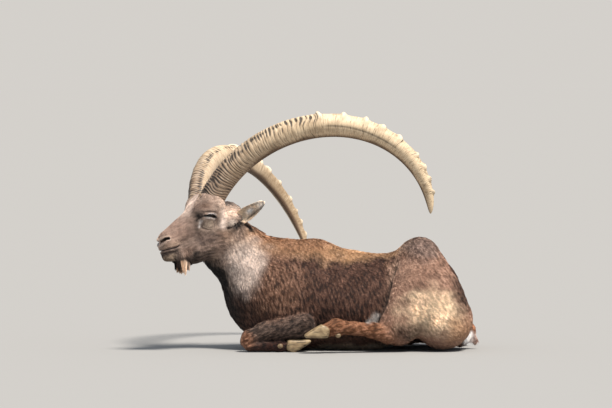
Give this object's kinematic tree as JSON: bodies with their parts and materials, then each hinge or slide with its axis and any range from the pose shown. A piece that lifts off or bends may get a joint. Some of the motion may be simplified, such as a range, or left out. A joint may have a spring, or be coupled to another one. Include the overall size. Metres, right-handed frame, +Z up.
{
  "type": "alpine ibex",
  "caption": "Adult male alpine ibex lying on its chest with folded legs, head turned to its left, long knobbed horns sweeping back and out.",
  "frame": {"origin": "on the flat of the belly, under the middle of the trunk, at the level of the ground", "axes": "the animal faces -X, its left side is towards -Y, and +Z is up"},
  "size_m": [1.0052, 0.8432, 0.7511],
  "materials": {
    "coat": "short dense hair, matt",
    "beard": "long coarse hair, matt",
    "horn": "ridged horn, worn to a dull sheen",
    "claw": "hard hoof wall, dull",
    "eye": "wet, dark"
  },
  "bodies": {
    "root": {"thigh_left": "coat", "thigh_right": "coat", "head": "coat", "neck": "coat", "trunk": "coat", "ear_left": "coat", "ear_right": "coat", "beard": "beard", "tail": "coat", "horn_left": "horn", "horn_right": "horn", "eye_left": "eye", "eye_right": "eye", "claw_fore_left_left": "claw", "dewclaw_fore_left_left": "claw", "claw_fore_left_right": "claw", "dewclaw_fore_left_right": "claw", "claw_fore_right_left": "claw", "dewclaw_fore_right_left": "claw", "claw_fore_right_right": "claw", "dewclaw_fore_right_right": "claw", "claw_hind_left_left": "claw", "dewclaw_hind_left_left": "claw", "claw_hind_left_right": "claw", "dewclaw_hind_left_right": "claw", "claw_hind_right_left": "claw", "dewclaw_hind_right_left": "claw", "claw_hind_right_right": "claw", "dewclaw_hind_right_right": "claw", "forearm_left": "coat", "forearm_right": "coat", "fore_cannon_left": "coat", "fore_cannon_right": "coat", "hind_cannon_left": "coat", "hind_cannon_right": "coat"}
  },
  "joints": []
}
